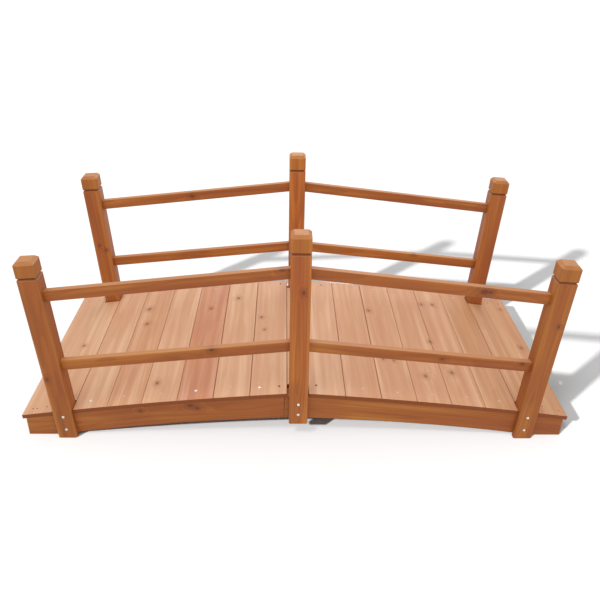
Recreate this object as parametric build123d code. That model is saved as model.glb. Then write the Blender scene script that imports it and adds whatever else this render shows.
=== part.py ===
"""Arched garden footbridge in stained softwood, with a post and rail guard along each side.

Millimetres. +X runs along the walk, +Y across it from the front side to the back, +Z up.
The floor is z = 0 and the middle of the bridge is x = 0, y = 0.
"""
import math
import os

from build123d import *

os.makedirs("parts", exist_ok=True)

# Deck: a level ridge board, and an arc of boards falling from it to each end
deck_length = 1400.0
board_set_back = {"front": 11.0, "back": 0.0}
board_thickness = 11.0
board_gap = 1.2
board_ease = 1.5
boards_each_side = 6
ridge_board_width = 54.0
inner_board_width = 94.0
end_board_width = 130.0
crown_height = 134.0
deck_end_height = 64.0
deck_radius = 9600.0

# Side beams: an arch in two halves along each side, with a flat foot at each end
beam_thickness = 45.0
beam_height = 67.0
beam_end_inset = 7.0
foot_length = 78.0
underside_radius = 5000.0
beam_joint_offset = 34.0
beam_joint_gap = 1.0
splice_length = 220.0
splice_thickness = 18.0
splice_margin = 12.0

# Posts. The middle pair stands a little to the right of the ridge.
width_over_posts = 630.0
post_width = 48.0
post_depth = 48.0
post_lap = 15.0
post_ease = 5.0
post_lean = 3.5
middle_post_x = 2.0
end_post_rise = 421.0
middle_post_rise = 435.0
middle_post_drop = 87.0
cap_chamfer = 7.5
groove_height_on_end_post = 379.0
groove_height_on_middle_post = 390.0
groove_depth = 5.0
groove_spread = 8.0
fitting_clearance = 0.5
notch_clearance = 1.0
notch_behind_post = 4.0

# Sunk seats for the two screws through each post foot, by their height above the floor
screw_heights = {"end": (65.0, 25.0), "middle": (106.0, 74.0)}
screw_seat_width = 11.0
screw_seat_depth = 2.5

# Rails, each set by its height above the deck at the middle post and at the end post
rail_height = 28.0
rail_thickness = 16.0
rail_ease = 1.5
rail_seat = 8.0
rail_rises = {"top": (337.0, 326.5), "low": (139.0, 133.5)}

# Space that a cutter runs past what it cuts
cut_reach = 0.5 * deck_length

half_length = deck_length / 2.0
half_ridge = ridge_board_width / 2.0
end_seam = half_length - end_board_width
end_post_x = end_seam + post_width / 2.0
beam_end = half_length - beam_end_inset
foot_start = beam_end - foot_length
post_outer = width_over_posts / 2.0
post_middle = post_outer - post_depth / 2.0
notch_inner = post_outer - post_depth - notch_behind_post
beam_outer = post_outer - post_lap
beam_inner = beam_outer - beam_thickness
board_front = board_set_back["front"] - post_outer
board_back = post_outer - board_set_back["back"]
sides = {"front": -1, "back": 1}
halves = {"left": -1, "right": 1}
post_places = {"left": -end_post_x, "middle": middle_post_x, "right": end_post_x}


def arc_centre(start, end, radius):
    """Centre of the circle through two points that bulges upwards between them."""
    run = end[0] - start[0]
    rise = end[1] - start[1]
    chord = math.hypot(run, rise)
    depth = math.sqrt(radius**2 - (chord / 2.0) ** 2)
    return (
        (start[0] + end[0]) / 2.0 + depth * rise / chord,
        (start[1] + end[1]) / 2.0 - depth * run / chord,
    )


deck_centre = arc_centre((half_ridge, crown_height), (half_length, deck_end_height), deck_radius)


def layer_point(x, depth):
    """Point a given depth below the deck surface at x, square to the arc of the deck."""
    angle = math.asin((abs(x) - deck_centre[0]) / deck_radius)
    radius = deck_radius - depth
    across = deck_centre[0] + radius * math.sin(angle)
    return (math.copysign(across, x), deck_centre[1] + radius * math.cos(angle))


def deck_level(x):
    """Height of the top of the deck at x."""
    return crown_height if abs(x) <= half_ridge else layer_point(x, 0.0)[1]


ridge_seat = layer_point(half_ridge, board_thickness)[1]
beam_crown = (0.0, ridge_seat - beam_height)
beam_foot = (foot_start, 0.0)
underside_centre = arc_centre(beam_crown, beam_foot, underside_radius)


def underside(x):
    """Point on the arched underside of a side beam."""
    drop = math.sqrt(underside_radius**2 - (abs(x) - underside_centre[0]) ** 2)
    return (x, underside_centre[1] + drop)


def save(shape, name):
    shape.label = name
    export_step(shape, f"parts/{name}.step")


def box_between(low, high):
    """Box from its lowest corner to its highest."""
    size = [b - a for a, b in zip(low, high)]
    middle = [(a + b) / 2.0 for a, b in zip(low, high)]
    return Pos(*middle) * Box(*size)


def upright(outline, y_low, y_high):
    """Solid between two distances across the walk, from an outline of edges in x and z."""
    plane = Plane(origin=(0, y_high, 0), x_dir=(1, 0, 0), z_dir=(0, -1, 0))
    return extrude(plane * make_face(outline), y_high - y_low, dir=(0, -1, 0))


def layer(x_from, x_to, top, bottom, y_low, y_high):
    """Slab that follows the arc of the deck between two depths below its surface."""
    stations = (x_from, (x_from + x_to) / 2.0, x_to)
    upper = [layer_point(x, top) for x in stations]
    lower = [layer_point(x, bottom) for x in reversed(stations)]
    outline = [
        ThreePointArc(*upper),
        Line(upper[-1], lower[0]),
        ThreePointArc(*lower),
        Line(lower[-1], upper[0]),
    ]
    return upright(outline, y_low, y_high)


def on_side(shape, side):
    """A piece made for the back side, or its mirror image for the front."""
    return shape if side > 0 else mirror(shape, about=Plane.XZ)


def below_floor():
    """Everything under the floor, to cut feet level."""
    return box_between((-deck_length, -cut_reach, -cut_reach), (deck_length, cut_reach, 0))


# Side beams


def make_beam(half, near):
    """Half of an arched beam on the back side, from its joint to its flat foot."""
    far = half * beam_end
    foot = half * foot_start
    start = near if near * half > 0 else half * half_ridge
    turn = near if near * half > 0 else 0.0
    top = [layer_point(x, board_thickness) for x in (start, (start + far) / 2.0, far)]
    arch = [underside(x) for x in (foot, (foot + turn) / 2.0, turn)]
    corners = [arch[-1], top[0]]
    if turn == 0.0:
        ridge_corner = layer_point(-half * half_ridge, board_thickness)
        corners = [arch[-1], underside(near), layer_point(near, board_thickness), ridge_corner, top[0]]
    outline = [
        ThreePointArc(*top),
        Line(top[-1], (top[-1][0], 0.0)),
        Line((top[-1][0], 0.0), arch[0]),
        ThreePointArc(*arch),
    ]
    outline += [Line(a, b) for a, b in zip(corners[:-1], corners[1:])]
    return upright(outline, beam_inner, beam_outer)


for side_name, side in sides.items():
    for half_name, half in halves.items():
        near = half * beam_joint_gap / 2.0 - beam_joint_offset
        save(on_side(make_beam(half, near), side), f"beam_{side_name}_{half_name}")

# A splice block behind each joint ties the two halves together

splice_top = ridge_seat - splice_margin
splice_bottom = beam_crown[1] + splice_margin / 2.0
for side_name, side in sides.items():
    block = box_between(
        (-beam_joint_offset - splice_length / 2.0, beam_inner - splice_thickness, splice_bottom),
        (-beam_joint_offset + splice_length / 2.0, beam_inner, splice_top),
    )
    save(on_side(block, side), f"beam_splice_{side_name}")

# Rails


def rail_level(x, rises):
    """Middle height of a rail at x, falling evenly from the middle post to the end post."""
    middle = crown_height + rises[0]
    end = deck_level(end_post_x) + rises[1]
    return middle + (end - middle) * abs(x) / end_post_x


def make_rail(half, rises):
    """Rail on the back side, let a little way into the faces of two posts."""
    x_in = half * middle_post_x + post_width / 2.0 - rail_seat
    lean_out = rises[1] * math.tan(math.radians(post_lean))
    x_out = end_post_x + lean_out - post_width / 2.0 + rail_seat
    z_in = rail_level(x_in, rises)
    z_out = rail_level(x_out, rises)
    thick = rail_height / 2.0
    ring = [
        (half * x_in, z_in - thick),
        (half * x_out, z_out - thick),
        (half * x_out, z_out + thick),
        (half * x_in, z_in + thick),
    ]
    outline = [Line(a, b) for a, b in zip(ring, ring[1:] + ring[:1])]
    rail = upright(outline, post_middle - rail_thickness / 2.0, post_middle + rail_thickness / 2.0)
    long_edges = rail.edges().sort_by(SortBy.LENGTH)[-4:]
    return fillet(long_edges, rail_ease)


rails = {
    (rail_name, side_name, half_name): on_side(make_rail(half, rises), side)
    for rail_name, rises in rail_rises.items()
    for side_name, side in sides.items()
    for half_name, half in halves.items()
}
for (rail_name, side_name, half_name), rail in rails.items():
    save(rail, f"rail_{rail_name}_{side_name}_{half_name}")

# Posts, halved over the beams at the foot and morticed for the rails


def post_frame(place):
    """Frame of a post with its origin on the deck line. The end posts lean outwards."""
    x = post_places[place]
    lean = 0.0 if place == "middle" else math.copysign(post_lean, x)
    return Pos(x, 0, deck_level(x)) * Rot(0, lean, 0)


def shaped_post(bottom, top, groove):
    """Post with rounded arrises, chamfered round the top, and a V-groove under its head."""
    height = top - bottom
    bar = Pos(0, 0, bottom) * extrude(RectangleRounded(post_width, post_depth, post_ease), height)
    head = Pos(0, 0, bottom + height / 2.0) * Box(post_width, post_depth, height)
    bar &= chamfer(head.faces().sort_by(Axis.Z)[-1].edges(), cap_chamfer)

    waist = Rectangle(post_width - 2.0 * groove_depth, post_depth - 2.0 * groove_depth)
    flare = Rectangle(post_width + 2.0 * groove_depth, post_depth + 2.0 * groove_depth)
    ring = Pos(0, 0, groove) * extrude(flare, groove_spread, both=True)
    ring -= loft([Pos(0, 0, groove - groove_spread) * flare, Pos(0, 0, groove) * waist])
    ring -= loft([Pos(0, 0, groove) * waist, Pos(0, 0, groove + groove_spread) * flare])
    return bar - ring


def screw_seats(place):
    """Round sinkings for the screws in the outer face of a post foot on the back side."""
    x = post_places[place]
    lean = 0.0 if place == "middle" else math.copysign(post_lean, x)
    seats = []
    for height in screw_heights["middle" if place == "middle" else "end"]:
        across = x + (height - deck_level(x)) * math.tan(math.radians(lean))
        seat = Cylinder(screw_seat_width / 2.0, 2.0 * screw_seat_depth)
        seats.append(Pos(across, post_outer, height) * Rot(90, 0, 0) * seat)
    return seats


def make_post(place):
    """Post on the back side with its foot halved over the outer face of the beam."""
    x = post_places[place]
    middle = place == "middle"
    rise = middle_post_rise if middle else end_post_rise
    drop = middle_post_drop if middle else 2.0 * crown_height
    groove = groove_height_on_middle_post if middle else groove_height_on_end_post
    post = post_frame(place) * (Pos(0, post_middle, 0) * shaped_post(-drop, rise, groove))
    low_y, high_y = post_middle - post_depth, beam_outer + fitting_clearance
    if middle:
        waste = box_between((x - post_width, low_y, -cut_reach), (x + post_width, high_y, ridge_seat))
    else:
        waste = layer(
            x - post_width, x + post_width, board_thickness, 2.0 * crown_height, low_y, high_y
        )
    post = post - waste - below_floor()
    for seat in screw_seats(place):
        post -= seat
    return post


for side_name, side in sides.items():
    for place in post_places:
        post = on_side(make_post(place), side)
        for (_, rail_side, half_name), rail in rails.items():
            if rail_side == side_name and place in (half_name, "middle"):
                post -= rail
        save(post, f"post_{side_name}_{place}")

# Deck boards. The ridge board fits between the middle posts and the end boards are notched round
# theirs. Between those the boards narrow by the same step from each one to the next.

seam_run = end_seam - half_ridge
narrowing = 2.0 * (boards_each_side * inner_board_width - seam_run)
narrowing /= boards_each_side * (boards_each_side - 1)
right_seams = [half_ridge]
for number in range(boards_each_side):
    right_seams.append(right_seams[-1] + inner_board_width - number * narrowing)
right_seams.append(half_length)
seams = [-seam for seam in reversed(right_seams)] + right_seams


def post_hole(place):
    """Space left in an end board round a post on the back side."""
    half_width = post_width / 2.0 + notch_clearance
    reach = 2.0 * board_thickness
    low = (-half_width, notch_inner, -reach)
    high = (half_width, cut_reach, reach)
    return post_frame(place) * box_between(low, high)


post_holes = [on_side(post_hole(place), side) for place in halves for side in sides.values()]


def make_board(x_from, x_to):
    """Board between two seams, with its long upper edges eased."""
    low = x_from if x_from == -half_length else x_from + board_gap / 2.0
    high = x_to if x_to == half_length else x_to - board_gap / 2.0
    if x_from < 0 < x_to:
        board = box_between((low, -notch_inner, ridge_seat), (high, notch_inner, crown_height))
    else:
        board = layer(low, high, 0.0, board_thickness, board_front, board_back)
    top = board.faces().sort_by_distance(((low + high) / 2.0, 0, crown_height + cut_reach))[0]
    board = fillet(top.edges().filter_by(Axis.Y), board_ease)
    for hole in post_holes:
        board -= hole
    return board


for number, (x_from, x_to) in enumerate(zip(seams[:-1], seams[1:]), start=1):
    save(make_board(x_from, x_to), f"deck_board_{number:02d}")
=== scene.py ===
"""Arched garden footbridge: finishes, screw heads, floor, light and camera.

Metres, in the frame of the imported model. +X runs along the walk, +Y from the front side to the
back, +Z up, and the floor is z = 0.
"""
import math
import random

import bmesh
import bpy
from mathutils import Euler, Matrix, Vector
from mathutils.bvhtree import BVHTree


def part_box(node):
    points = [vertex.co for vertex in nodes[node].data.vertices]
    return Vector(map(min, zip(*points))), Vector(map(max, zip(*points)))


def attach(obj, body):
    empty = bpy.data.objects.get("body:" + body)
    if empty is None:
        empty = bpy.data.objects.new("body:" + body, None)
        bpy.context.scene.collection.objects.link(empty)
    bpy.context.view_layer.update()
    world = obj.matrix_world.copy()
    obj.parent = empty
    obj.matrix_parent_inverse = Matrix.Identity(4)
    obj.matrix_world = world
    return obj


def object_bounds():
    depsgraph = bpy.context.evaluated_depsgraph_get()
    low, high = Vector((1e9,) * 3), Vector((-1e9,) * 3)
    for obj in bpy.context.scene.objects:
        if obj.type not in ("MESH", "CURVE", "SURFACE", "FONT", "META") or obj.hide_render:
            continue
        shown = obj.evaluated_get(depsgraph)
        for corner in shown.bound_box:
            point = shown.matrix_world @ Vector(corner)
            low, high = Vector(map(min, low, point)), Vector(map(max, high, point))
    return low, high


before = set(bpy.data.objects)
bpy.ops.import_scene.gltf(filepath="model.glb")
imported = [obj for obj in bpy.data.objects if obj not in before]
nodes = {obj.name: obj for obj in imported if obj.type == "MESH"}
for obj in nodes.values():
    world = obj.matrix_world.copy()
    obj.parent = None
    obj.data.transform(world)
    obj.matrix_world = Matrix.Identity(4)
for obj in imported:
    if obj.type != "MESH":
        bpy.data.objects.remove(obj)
cad_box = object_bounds()
mm = 0.001
chance = random.Random(7)

# The end posts lean outwards, and the beams and rails slope up to the ridge
lean = math.radians(3.5)
slope = math.radians(6)
level = math.radians(90)
post_tilts = {"left": -lean, "middle": 0.0, "right": lean}
beam_tilts = {"left": level - slope, "right": level + slope}
sides = {"front": -1, "back": 1}

# Where the axis of a post passes the top of the deck, as x and height
posts_at_deck = {"left": (-0.594, 0.0782), "middle": (0.002, 0.134), "right": (0.594, 0.0782)}


def post_x(end, height):
    """The x of a post's axis at a height, to a tenth of a millimetre."""
    x, deck_height = posts_at_deck[end]
    return round(x + (height - deck_height) * math.tan(post_tilts[end]), 4)


# Materials


def linear(code):
    """Linear colour from an sRGB hex value."""
    parts = [int(code[place : place + 2], 16) / 255.0 for place in (1, 3, 5)]
    return [part / 12.92 if part <= 0.04045 else ((part + 0.055) / 1.055) ** 2.4 for part in parts] + [1.0]


def add(tree, kind, inputs=None, output=0, stops=None, **settings):
    """Add a node with its settings and return one of its outputs.

    Each input is set to a value or linked to another node's output. stops are the places and hex
    colours of a colour ramp.
    """
    node = tree.nodes.new(kind)
    for name, value in settings.items():
        setattr(node, name, value)
    for socket, value in (inputs or {}).items():
        if isinstance(value, bpy.types.NodeSocket):
            tree.links.new(value, node.inputs[socket])
        else:
            node.inputs[socket].default_value = value
    if stops:
        points = node.color_ramp.elements
        while len(points) < len(stops):
            points.new(0.5)
        for point, (place, code) in zip(points, stops):
            point.position = place
            point.color = linear(code)
    return node.outputs[output] if len(node.outputs) else None


def new_material(name):
    """An empty material, its node tree and its surface shader."""
    material = bpy.data.materials.new(name)
    material.use_nodes = True
    tree = material.node_tree
    return material, tree, tree.nodes["Principled BSDF"]


# Blender's names for the nodes that are used most
maths = "ShaderNodeMath"
vectors = "ShaderNodeVectorMath"
map_range = "ShaderNodeMapRange"

# What varies in the wood: how wide and how long its spots are in mm, across and along the grain, and
# their detail. Softwood fibres are far too fine to show, so they are drawn 1.5 mm wide.
wood_spots = {
    "wave": (60.0, 420.0, 2.0),
    "streak": (21.0, 620.0, 2.0),
    "blotch": (55.0, 190.0, 1.0),
    "fibre": (1.5, 70.0, 3.0),
}
# How far off each timber may take its spots from, in mm across, through and along
spot_range = (37.0, 53.0, 311.0)

# Growth rings wander by up to ring_wander mm. Round a knot they swell by up to knot_swell rings, less
# further out, as far as swell_radii times its radius. A knot is knot_length times as long as wide.
ring_wander = 26.0
knot_swell = 2.2
swell_radii = 4.5
knot_length = 1.4


def distance_past(tree, place, start, way):
    """How far each point lies past a start, measured along a way."""
    off = add(tree, vectors, {0: place, 1: start}, operation="SUBTRACT")
    return add(tree, vectors, {0: off, 1: way}, output="Value", operation="DOT_PRODUCT")


def radii_from_knots(tree, place, knots, grain):
    """How far each point lies from each knot, counted in the knot's radii."""
    lengthways = max(range(3), key=lambda axis: abs(grain[axis]))
    distances = []
    for middle, radius, through in knots:
        scale = [1.0 / (radius * mm)] * 3
        scale["xyz".index(through)] = 0.0
        scale[lengthways] /= knot_length
        off = add(tree, vectors, {0: place, 1: middle}, operation="SUBTRACT")
        off = add(tree, vectors, {0: off, 1: scale}, operation="MULTIPLY")
        distances.append(add(tree, vectors, {0: off}, output="Value", operation="LENGTH"))
    return distances


def latewood_lines(tree, timber, wave, from_knots, ring):
    """The darker line where each year's growth ends: 1 at its darkest, and 0 in the wood between.

    The rings run round the heart, waved along the grain and bent round the knots.
    """
    flat = add(tree, vectors, {0: timber, 1: (1, 1, 0)}, operation="MULTIPLY")
    radius = add(tree, vectors, {0: flat}, output="Value", operation="LENGTH")
    radius = add(tree, maths, {0: wave, 1: ring_wander, 2: radius}, operation="MULTIPLY_ADD")
    for away in from_knots:
        swell = {"Value": away, "From Max": swell_radii, "To Min": knot_swell * ring, "To Max": 0.0}
        swell = add(tree, map_range, swell, interpolation_type="SMOOTHSTEP")
        radius = add(tree, maths, {0: radius, 1: swell}, operation="ADD")
    year = add(tree, maths, {0: radius, 1: 1.0 / ring}, operation="MULTIPLY")
    year = add(tree, maths, {0: year}, operation="FRACT")

    # A line darkens through most of the year's growth and ends sharply
    darkening = {"Value": year, "From Min": 0.3, "From Max": 0.92}
    darkening = add(tree, map_range, darkening, interpolation_type="SMOOTHSTEP")
    ending = {"Value": year, "From Min": 1.0, "From Max": 0.93}
    ending = add(tree, map_range, ending, interpolation_type="SMOOTHSTEP")
    return add(tree, maths, {0: darkening, 1: ending}, operation="MULTIPLY")


def stained_softwood(name, stain, middle, turn, pith, ring, seed, knots=(), glue_line=None, groove=None):
    """Planed softwood under a translucent wood stain.

    The stain soaks unevenly, so the eye sees soft streaks along the grain, faint darker lines where each
    year's growth ends, knots and paler rubbed arrises. Faces that look up are painted paler, a painted
    sheen for the light from above. Cut ends go browner on the deck boards, and on the frame they are
    painted paler for that light, chiefly the post tops.
    stain holds the colours, and lightness, which makes the streaks that many times lighter. middle is a
    point of the piece and turn the rotation that carries Z to the run of the grain. pith is where the
    heart of the tree lay, in mm across the piece, and ring the width of a year's growth in mm. seed,
    from 0 to 1, gives the piece streaks of its own.
    knots are (middle, radius in mm, axis), with the axis through the wood that the knot follows.
    glue_line is the x of a joint between two strips that make one wide board, and groove a point level
    with the V-groove under a post's head, which is darkened with painted shade. The head above it is a
    little yellower.
    """
    material, tree, shader = new_material(name)
    side, edge, grain = turn.to_matrix().col
    place = add(tree, "ShaderNodeTexCoord", output="Object")
    heart = Vector(middle) + turn.to_matrix() @ (Vector((*pith, 0)) * mm)
    to_timber = {"Vector": place, "Location": heart, "Rotation": turn, "Scale": (mm, mm, mm)}
    timber = add(tree, "ShaderNodeMapping", to_timber, vector_type="TEXTURE")
    own = [seed * far for far in spot_range]
    shifted = add(tree, vectors, {0: timber, 1: own}, operation="ADD")
    look = {}
    for kind, (across, along, detail) in wood_spots.items():
        scale = (1 / across, 1 / across, 1 / along)
        scaled = add(tree, vectors, {0: shifted, 1: scale}, operation="MULTIPLY")
        look[kind] = add(tree, "ShaderNodeTexNoise", {"Vector": scaled, "Scale": 1.0, "Detail": detail})
    from_knots = radii_from_knots(tree, place, knots, grain)
    latewood = latewood_lines(tree, timber, look["wave"], from_knots, ring)

    # How the surface lies: cut_end is 1 on a sawn end, and square is 1 on every flat and less on an arris
    facing = add(tree, "ShaderNodeNewGeometry", output="Normal")
    lies = []
    for way in (grain, side, edge):
        along = add(tree, vectors, {0: facing, 1: way}, output="Value", operation="DOT_PRODUCT")
        lies.append(add(tree, maths, {0: along}, operation="ABSOLUTE"))
    cut_end = lies[0]
    square = add(tree, maths, {0: lies[1], 1: lies[2]}, operation="MAXIMUM")
    square = add(tree, maths, {0: square, 1: cut_end}, operation="MAXIMUM")

    # Streaks of stain, made lighter and darker by the fibres
    streaks = ((0.34, stain["pale"]), (0.5, stain["body"]), (0.67, stain["streak"]))
    colour = add(tree, "ShaderNodeValToRGB", {"Fac": look["streak"]}, stops=streaks)
    dark, light = stain["lightness"] - stain["fibre"], stain["lightness"] + stain["fibre"]
    tone = {"Value": look["fibre"], "From Min": 0.3, "From Max": 0.7, "To Min": dark, "To Max": light}
    tone = add(tree, map_range, tone)
    colour = add(tree, vectors, {0: colour, "Scale": tone}, operation="SCALE")

    # Layers over them: what decides a layer's share, its value where the layer starts and where it is
    # full, the layer's colour, and its share where it is full
    layers = [
        (look["blotch"], 0.5, 0.68, stain["streak"], 0.55),
        (latewood, 0.0, 1.0, stain["late"], stain["figure"]),
    ]
    layers += [(away, 3.4, 0.8, stain["late"], 0.5) for away in from_knots]
    layers += [(away, 1.2, 0.45, *stain["knot"]) for away in from_knots]
    if glue_line is not None:
        beside_glue = distance_past(tree, place, (glue_line, 0, 0), (1, 0, 0))
        beside_glue = add(tree, maths, {0: beside_glue}, operation="ABSOLUTE")
        layers.append((beside_glue, 1.6 * mm, 0.4 * mm, stain["late"], 0.75))
    if groove is not None:
        above_groove = distance_past(tree, place, groove, grain)
        layers.append((above_groove, 2.0 * mm, 6.0 * mm, *stain["head"]))
    layers.append((square, 0.97, 0.8, *stain["arris"]))
    # Painted highlight: faces that look up are paler, standing in for the sheen and light from above
    if "top" in stain:
        up = add(tree, vectors, {0: facing, 1: (0, 0, 1)}, output="Value", operation="DOT_PRODUCT")
        layers.append((up, 0.6, 0.97, *stain["top"]))
    # Cut ends take the end colour: the deck boards' ends are browner where they soaked up stain, and the
    # frame's are painted paler for the light from above on the post tops
    layers.append((cut_end, 0.75, 0.95, *stain["end"]))
    # Painted shade in the V-groove under a post's head: darker within 5 mm of it
    if groove is not None:
        from_groove = add(tree, maths, {0: above_groove}, operation="ABSOLUTE")
        layers.append((from_groove, 5.0 * mm, 1.5 * mm, stain["late"], 0.8))
    for value, start, full, code, most in layers:
        share = {"Value": value, "From Min": start, "From Max": full, "To Max": most}
        share = add(tree, map_range, share, interpolation_type="SMOOTHSTEP")
        mix = {0: share, 6: colour, 7: linear(code)}
        colour = add(tree, "ShaderNodeMix", mix, output=2, data_type="RGBA")

    # Eased edges, and a surface that follows fibres and rings
    eased = add(tree, "ShaderNodeBevel", {"Radius": 1.2 * mm}, samples=4)
    relief = add(tree, maths, {0: latewood, 1: 0.6, 2: look["fibre"]}, operation="MULTIPLY_ADD")
    relief = {"Height": relief, "Strength": 0.3, "Distance": 0.2 * mm, "Normal": eased}
    satin = {"Value": look["fibre"], "From Min": 0.3, "From Max": 0.7, "To Min": 0.5, "To Max": 0.62}
    tree.links.new(colour, shader.inputs["Base Color"])
    tree.links.new(add(tree, map_range, satin), shader.inputs["Roughness"])
    tree.links.new(add(tree, "ShaderNodeBump", relief), shader.inputs["Normal"])
    shader.inputs["IOR"].default_value = 1.46
    return material


def zinc_plate():
    """Zinc plate on a steel screw: pale, faintly blotched in patches of 1 mm, and half bright."""
    material, tree, shader = new_material("zinc_plated_steel")
    place = add(tree, "ShaderNodeTexCoord", output="Object")
    blotch = add(tree, "ShaderNodeTexNoise", {"Vector": place, "Scale": 1.0 / mm, "Detail": 3.0})
    pale = add(tree, "ShaderNodeValToRGB", {"Fac": blotch}, stops=((0.35, "#c4c2ba"), (0.65, "#e6e4dc")))
    rough = {"Value": blotch, "From Min": 0.3, "From Max": 0.7, "To Min": 0.24, "To Max": 0.4}
    tree.links.new(pale, shader.inputs["Base Color"])
    tree.links.new(add(tree, map_range, rough), shader.inputs["Roughness"])
    shader.inputs["Metallic"].default_value = 1.0
    return material


def coated_steel(name, clear, cloudy, roughness):
    """A steel head under a coat of stain, or a dark head of black oxide steel whose darkness on the sunk
    deck
    screws is painted shade for their holes: matt, and cloudy in patches of 2 mm.
    """
    material, tree, shader = new_material(name)
    place = add(tree, "ShaderNodeTexCoord", output="Object")
    cloud = add(tree, "ShaderNodeTexNoise", {"Vector": place, "Scale": 0.5 / mm, "Detail": 2.0})
    coat = add(tree, "ShaderNodeValToRGB", {"Fac": cloud}, stops=((0.35, clear), (0.65, cloudy)))
    tree.links.new(coat, shader.inputs["Base Color"])
    shader.inputs["Roughness"].default_value = roughness
    return material


# Timbers

# A stain's colours. figure is the share of the late colour in the growth rings, and fibre how much the
# fibres lighten and darken the wood. A colour that lies over part of a timber has its share with it.
# The frame took a deep honey-brown stain. Its faces that look up are painted paler, a painted sheen
# standing in for the light from above, and its cut ends, chiefly the post tops, are painted paler too.
frame_stain = {
    "pale": "#b8722f",
    "body": "#a65d22",
    "streak": "#995020",
    "late": "#7d3e15",
    "figure": 0.3,
    "fibre": 0.05,
    "knot": ("#642a10", 0.8),
    "arris": ("#c4864c", 0.2),
    # Painted highlight: faces that look up are paler, for the sheen and light from above
    "top": ("#d69d6c", 0.42),
    # Painted light: the frame's cut ends, chiefly the post tops, are paler for the light from above
    "end": ("#b87a45", 0.25),
    "head": ("#b17324", 0.3),
}
# The deck boards took a thin coat, paler and pinker, that went brown where it soaked into the cut ends
thin_stain = {
    "figure": 0.16,
    "fibre": 0.03,
    "knot": ("#84502f", 0.8),
    "arris": ("#a8683e", 0.25),
    "end": ("#84400a", 1.0),
}
# The boards' own pale, body, streak and late colours, and the tone of each board from left to right
deck_tones = {
    "tan": ("#dfad88", "#d29b72", "#cc9069", "#b0744a"),
    "pale": ("#e2b48f", "#d8a57e", "#d29b76", "#ba8056"),
    "pink": ("#d69c7c", "#ca8a62", "#c5805e", "#a86540"),
    "amber": ("#d7a47a", "#cc9468", "#c58a60", "#a86d42"),
}
left_tones = ("pale", "pale", "tan", "pale", "pink", "pale", "pale")
right_tones = ("pale", "tan", "tan", "tan", "tan", "amber", "amber")
board_tones = left_tones + ("pale",) + right_tones

# Posts whose stain is thinner and so lighter, by how many times
lightened = {
    "post_front_middle": 1.22,
    "post_back_middle": 1.34,
    "post_back_left": 1.06,
    "post_back_right": 1.1,
}

# Knots by x, y and radius in mm on the deck, and by x, height and radius on the near face of a piece
deck_knots = (
    (-459, 187, 6), (-451, 96, 6), (-262, 159, 5), (-180, 213, 6), (-103, 84, 5), (-368, -220, 6),
    (-620, 4, 5), (227, 146, 6), (406, 219, 6), (443, 224, 6), (393, -7, 5), (240, -121, 4),
    (269, -124, 4), (347, -187, 6), (425, -159, 6), (675, 15, 6), (676, 246, 5), (-92, 12, 4),
)
face_knots = {
    "rail_low_front_left": ((-211, 261, 5.5),),
    "rail_top_front_left": ((-41, 480, 6),),
    "rail_top_back_left": ((-317, 437, 5),),
    "rail_top_front_right": ((431, 425, 8), (446, 424, 4)),
    "rail_low_front_right": ((354, 237, 4), (555, 223, 4)),
    "rail_low_back_right": ((379, 249, 4),),
    "post_front_middle": ((9, 428, 4.5),),
    "post_front_right": ((617, 341, 3.5),),
    "post_front_left": ((-614, 182, 4),),
    "post_back_left": ((-594, 262, 3.5), (-612, 276, 3.5)),
    "beam_front_left": ((-400, 75, 4), (-272, 93, 6), (-255, 84, 5)),
}
# A knot whose middle is no further than this off a board still shows at its edge
knot_overhang = 4.0 * mm

# The x of the joint between the two strips of an end board, and the heights of the V-grooves
glue_lines = {"deck_board_01": -0.624, "deck_board_15": 0.622}
groove_heights = {"left": 0.4565, "middle": 0.524, "right": 0.4565}


def cut_from_log(aside, beyond, growth):
    """Where the heart of the tree lay from the middle of a timber, and a year's growth, all in mm.

    aside is the most that the heart lay to one side, beyond how far it lay above or below, from least
    to most, and growth the least and the most that the tree grew in a year.
    """
    pith = (chance.uniform(-aside, aside), chance.choice((-1, 1)) * chance.uniform(*beyond))
    return pith, chance.uniform(*growth)


def dress(node_name, stain, turn, pith, ring):
    """Give a timber of the model its own piece of softwood."""
    stain = dict(stain, lightness=lightened.get(node_name, 1.0))
    low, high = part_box(node_name)
    middle = (Vector(low) + Vector(high)) / 2.0
    groove = None
    if node_name.startswith("post"):
        end = node_name.split("_")[-1]
        groove = (post_x(end, groove_heights[end]), 0, groove_heights[end])
    if node_name.startswith("deck_board"):
        first, last = low[0] - knot_overhang, high[0] + knot_overhang
        found = [(Vector((x, y, 0)) * mm, radius, "z") for x, y, radius in deck_knots]
        knots = [knot for knot in found if first < knot[0].x < last]
    else:
        found = face_knots.get(node_name, ())
        knots = [(Vector((x, 0, height)) * mm, radius, "y") for x, height, radius in found]
    material = stained_softwood(
        f"stained_softwood_{node_name}",
        stain,
        middle,
        turn,
        pith,
        ring,
        chance.random(),
        knots,
        glue_lines.get(node_name),
        groove,
    )
    mesh = nodes[node_name].data
    mesh.materials.clear()
    mesh.materials.append(material)


for number, tone in enumerate(board_tones, start=1):
    pale, body, streak, late = deck_tones[tone]
    stain = dict(thin_stain, pale=pale, body=body, streak=streak, late=late)
    pith, ring = cut_from_log(aside=30, beyond=(35, 80), growth=(5, 8))
    dress(f"deck_board_{number:02d}", stain, Euler((-level, 0, 0)), pith, ring)

for name in nodes:
    if name.startswith("deck_board"):
        continue
    tilts = post_tilts if name.startswith("post") else beam_tilts
    turn = Euler((0, tilts.get(name.split("_")[-1], level), 0))
    pith, ring = cut_from_log(aside=15, beyond=(30, 70), growth=(4, 6))
    dress(name, frame_stain, turn, pith, ring)


# Screws and nails

zinc = zinc_plate()
stained_zinc = coated_steel("stain_over_zinc_plate", "#cca080", "#dab496", 0.55)
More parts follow.
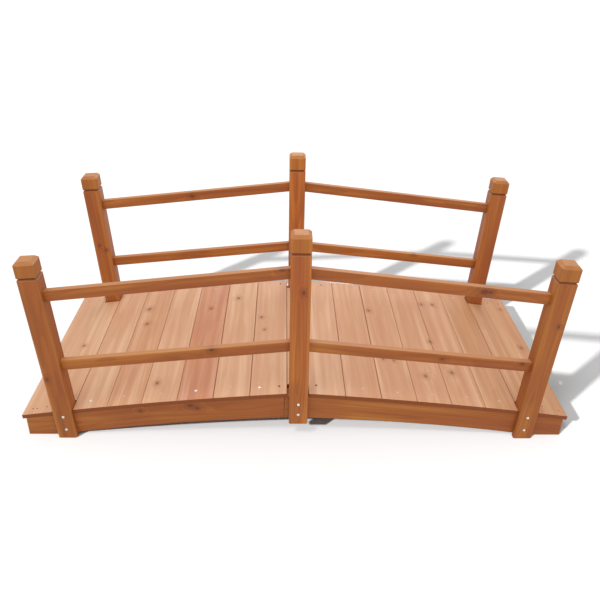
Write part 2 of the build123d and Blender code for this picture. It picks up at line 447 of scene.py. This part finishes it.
# Dark heads for the nails, and for the sunk deck screws, where the darkness is painted shade in their
# holes
dark_heads_and_hole_shade = coated_steel("black_oxide_and_painted_hole_shade", "#20140d", "#3a2415", 0.6)

# A head's dome is a little fuller than a ball, whose power is 2. Its skirt goes down into the timber.
dome_power = 2.2
skirt_depth = 0.3 * mm
# The cross in a screw head is cut to cross_depth of the dome's rise. An arm's length, half its width
# and the width of its sloping wall are shares of the head's radius, and on the arm's outline the wall
# has reached outline_depth of the cut.
cross_depth = 0.55
arm_length = 0.62
arm_half_width = 0.15
wall_width = 0.12
outline_depth = 0.4


def fastener_head(mesh, place, out, radius, rise, spin, recess):
    """Add a domed head to a mesh, standing on a face that looks along out.

    rise is how far it stands proud, spin how far it is turned, and recess the depth of its cross as a
    share of rise, which is 0 for a nail.
    """
    rounds = 9
    steps = 32
    turn = out.to_track_quat("Z", "Y").to_matrix() @ Matrix.Rotation(spin, 3, "Z")

    def domed(across, along):
        """The height of the head's surface at a point of it."""
        far = math.hypot(across, along) / radius
        dome = rise * math.sqrt(max(0.0, 1.0 - far**dome_power))
        long_way = max(abs(across), abs(along))
        short_way = min(abs(across), abs(along))
        inside = min(arm_length * radius - long_way, arm_half_width * radius - short_way)
        cut = min(1.0, max(0.0, inside / (wall_width * radius) + outline_depth))
        return dome - recess * cut * rise

    def circle(reach, height):
        """A circle of points round the head's middle, at the height that a function gives for each."""
        points = []
        for step in range(steps):
            angle = math.tau * step / steps
            across, along = reach * math.cos(angle), reach * math.sin(angle)
            points.append(mesh.verts.new(place + turn @ Vector((across, along, height(across, along)))))
        return points

    middle = mesh.verts.new(place + turn @ Vector((0, 0, domed(0, 0))))
    circles = []
    for number in range(1, rounds + 1):
        circles.append(circle(radius * math.sin(math.pi / 2.0 * number / rounds), domed))
    circles.append(circle(radius, lambda across, along: -skirt_depth))
    afters = [(step + 1) % steps for step in range(steps)]
    for step, after in enumerate(afters):
        mesh.faces.new((middle, circles[0][step], circles[0][after]))
    for inner, outer in zip(circles, circles[1:]):
        for step, after in enumerate(afters):
            mesh.faces.new((inner[step], outer[step], outer[after], inner[after]))


def fasteners(name, spots, finish, radius, rise, recess=cross_depth):
    """One piece holding the heads of screws or nails, each at a place on a face that looks along out."""
    shape = bmesh.new()
    for place, out in spots:
        fastener_head(shape, Vector(place), Vector(out), radius, rise, chance.uniform(0, math.pi), recess)
    bmesh.ops.recalc_face_normals(shape, faces=shape.faces)
    mesh = bpy.data.meshes.new(name)
    shape.to_mesh(mesh)
    shape.free()
    mesh.materials.append(finish)
    piece = bpy.data.objects.new(name, mesh)
    bpy.context.scene.collection.objects.link(piece)
    for face in mesh.polygons:
        face.use_smooth = True
    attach(piece, "root")


# Two screws through each post foot, in its sunk seats, by their heights
seat_depth = 2.5 * mm
seat_floor = cad_box[1][1] - seat_depth
foot_screw_heights = {"left": (0.065, 0.025), "middle": (0.106, 0.074), "right": (0.065, 0.025)}
for side_name, side in sides.items():
    for end, heights in foot_screw_heights.items():
        spots = [((post_x(end, height), side * seat_floor, height), (0, side, 0)) for height in heights]
        fasteners(f"foot_screws_{side_name}_{end}", spots, zinc, radius=4.5 * mm, rise=1.6 * mm)

# Four screws from behind through each splice block, by x and height
splice_face = 0.237
splice_screws = ((-0.124, 0.076), (-0.072, 0.098), (0.004, 0.076), (0.056, 0.098))
for side_name, side in sides.items():
    spots = [((x, side * splice_face, height), (0, -side, 0)) for x, height in splice_screws]
    fasteners(f"splice_screws_{side_name}", spots, zinc, radius=4.0 * mm, rise=1.2 * mm)

# Deck screws, by x and y in mm. Some stand bright, some are under the stain, and some are sunk, with
# dark heads whose darkness is painted shade for their holes.
bright_screws = ((-531, -272), (-261, -267), (-98, -271))
sunk_screws = ((-47, -270), (48, -266), (-47, 293), (86, 292))
stained_screws = (
    (-447, -265), (-350, -268), (-171, -261), (101, -272), (168, -267), (258, -272), (350, -268),
    (442, -266), (527, -270), (-527, 290), (-440, 288), (-350, 291), (-260, 289), (-168, 291),
    (168, 290), (258, 289), (350, 291), (442, 288), (527, 290),
)
end_nails = (
    (-678, -281), (-667, -282), (-642, -279), (642, -272), (683, -284), (-676, 284), (-642, 281),
    (642, 282), (678, 284),
)


def deck_surface():
    """The surface of all the deck boards, for finding the height at a place."""
    corners = []
    faces = []
    for name, node in nodes.items():
        if name.startswith("deck_board"):
            start = len(corners)
            corners += [vertex.co.copy() for vertex in node.data.vertices]
            faces += [[start + index for index in face.vertices] for face in node.data.polygons]
    return BVHTree.FromPolygons(corners, faces)


deck = deck_surface()
# A height above everything, for rays to fall from
above_all = 1.0


def on_deck(marks):
    """The place on the deck below each x and y in mm, and the way that its surface looks."""
    spots = []
    for x, y in marks:
        place, out, _, _ = deck.ray_cast(Vector((x * mm, y * mm, above_all)), Vector((0, 0, -1)))
        spots.append((place, out if out.z > 0 else -out))
    return spots


fasteners("deck_screws_bright", on_deck(bright_screws), zinc, radius=4.0 * mm, rise=0.7 * mm)
fasteners("deck_screws_stained", on_deck(stained_screws), stained_zinc, radius=4.0 * mm, rise=0.4 * mm)
# The sunk screws' dark heads are painted shade for their holes
fasteners("deck_screws_sunk", on_deck(sunk_screws), dark_heads_and_hole_shade, radius=3.2 * mm, rise=0.25 * mm)
fasteners("end_board_nails", on_deck(end_nails), dark_heads_and_hole_shade, radius=1.8 * mm, rise=0.3 * mm, recess=0.0)


# Floor and backdrop


def seen_straight(tree):
    """1 for what the camera sees, also in a reflection or through glass, and 0 for light on its way."""
    seen = add(tree, "ShaderNodeLightPath", output="Is Camera Ray")
    for kind in ("Glossy", "Transmission"):
        ray = add(tree, "ShaderNodeLightPath", output=f"Is {kind} Ray")
        seen = add(tree, maths, {0: seen, 1: ray}, operation="MAXIMUM")
    return seen


def matt_white_floor():
    """Matt white paint on the studio floor: no gloss, and the soft shadow of the bridge lies on it.

    The paint is a pale grey that the floor's own two lamps bring up to white. The light that it throws
    back on the bridge is turned down.
    """
    material, tree, shader = new_material("matt_white_floor")
    shader.inputs["Base Color"].default_value = linear("#c2c2c2")
    shader.inputs["Roughness"].default_value = 0.9
    shader.inputs["IOR"].default_value = 1.5
    dim = add(tree, "ShaderNodeBsdfDiffuse", {"Color": linear("#8a8a8a")})
    both = add(tree, "ShaderNodeMixShader", {0: seen_straight(tree), 1: dim, 2: shader.outputs["BSDF"]})
    tree.links.new(both, tree.nodes["Material Output"].inputs["Surface"])
    return material


def studio_floor(half_width):
    """A level floor whose edges are far out of the picture."""
    shape = bmesh.new()
    bmesh.ops.create_grid(shape, x_segments=8, y_segments=8, size=half_width)
    mesh = bpy.data.meshes.new("studio_floor")
    shape.to_mesh(mesh)
    shape.free()
    mesh.materials.append(matt_white_floor())
    piece = bpy.data.objects.new("studio_floor", mesh)
    bpy.context.scene.collection.objects.link(piece)
    return piece


floor = studio_floor(half_width=12.0)

# The backdrop is white to the camera, and lights the bridge less
world = bpy.data.worlds.new("studio")
bpy.context.scene.world = world
world.use_nodes = True
tree = world.node_tree
tree.nodes.clear()
glow = add(tree, map_range, {"Value": seen_straight(tree), "To Min": 0.72, "To Max": 1.0})
backdrop = add(tree, "ShaderNodeBackground", {"Color": linear("#ffffff"), "Strength": glow})
add(tree, "ShaderNodeOutputWorld", {"Surface": backdrop})


# Lamps

floor_alone = bpy.data.collections.new("floor_alone")
floor_alone.objects.link(floor)
all_but_floor = bpy.data.collections.new("all_but_floor")
all_but_floor.objects.link(floor)
all_but_floor.collection_objects[0].light_linking.link_state = "EXCLUDE"


def lamp(name, kind, place, aim, power, lit):
    """A lamp that lights the given collection, or all but what that collection leaves out."""
    light = bpy.data.lights.new(name, kind)
    light.energy = power
    piece = bpy.data.objects.new(name, light)
    piece.location = place
    piece.rotation_euler = (Vector(aim) - Vector(place)).to_track_quat("-Z", "Y").to_euler()
    piece.light_linking.receiver_collection = lit
    bpy.context.scene.collection.objects.link(piece)
    return light


# Square softboxes light the bridge, by place, width and watts
bridge_middle = (0, 0, 0.2)
for name, place, width, watts in (
    ("key_softbox", (-1.3, -1.5, 2.8), 2.2, 27),
    ("fill_softbox", (1.1, -2.8, 1.3), 2.0, 19),
    ("back_softbox", (0.5, 2.6, 2.3), 2.2, 31),
):
    light = lamp(name, "AREA", place, bridge_middle, watts, all_but_floor)
    light.shape = "SQUARE"
    light.size = width

# Two lamps light the floor alone, by where they stand, strength and width in degrees: one throws the
# long shadow to the right and back, the other stands higher and deepens it close to the bridge.
for name, place, power, spread in (
    ("floor_low_lamp", (-1.16, -1.14, 1.0), 6.0, 2.4),
    ("floor_high_lamp", (-0.4, -0.55, 1.0), 1.0, 12.0),
):
    light = lamp(name, "SUN", place, (0, 0, 0), power, floor_alone)
    light.angle = math.radians(spread)


# Camera, solved from the photo's perspective, with its angles in radians

picture_width_px = 600.0
focal_length_px = 682.756
film_width_mm = 36.0
camera_place = (-0.0379, -1.6906, 1.1722)
yaw, pitch, roll = -0.028, 0.506, -0.020

camera_data = bpy.data.cameras.new("camera")
camera_data.sensor_width = film_width_mm
camera_data.lens = focal_length_px / picture_width_px * film_width_mm
camera = bpy.data.objects.new("camera", camera_data)
aim = Matrix.Rotation(yaw, 3, "Z") @ Matrix.Rotation(-pitch, 3, "X") @ Matrix.Rotation(roll, 3, "Y")
right, forward, up = aim.col
basis = Matrix((right, up, -forward)).transposed().to_4x4()
camera.matrix_world = Matrix.Translation(camera_place) @ basis
bpy.context.scene.collection.objects.link(camera)
bpy.context.scene.camera = camera
bpy.context.scene.view_settings.view_transform = "Standard"
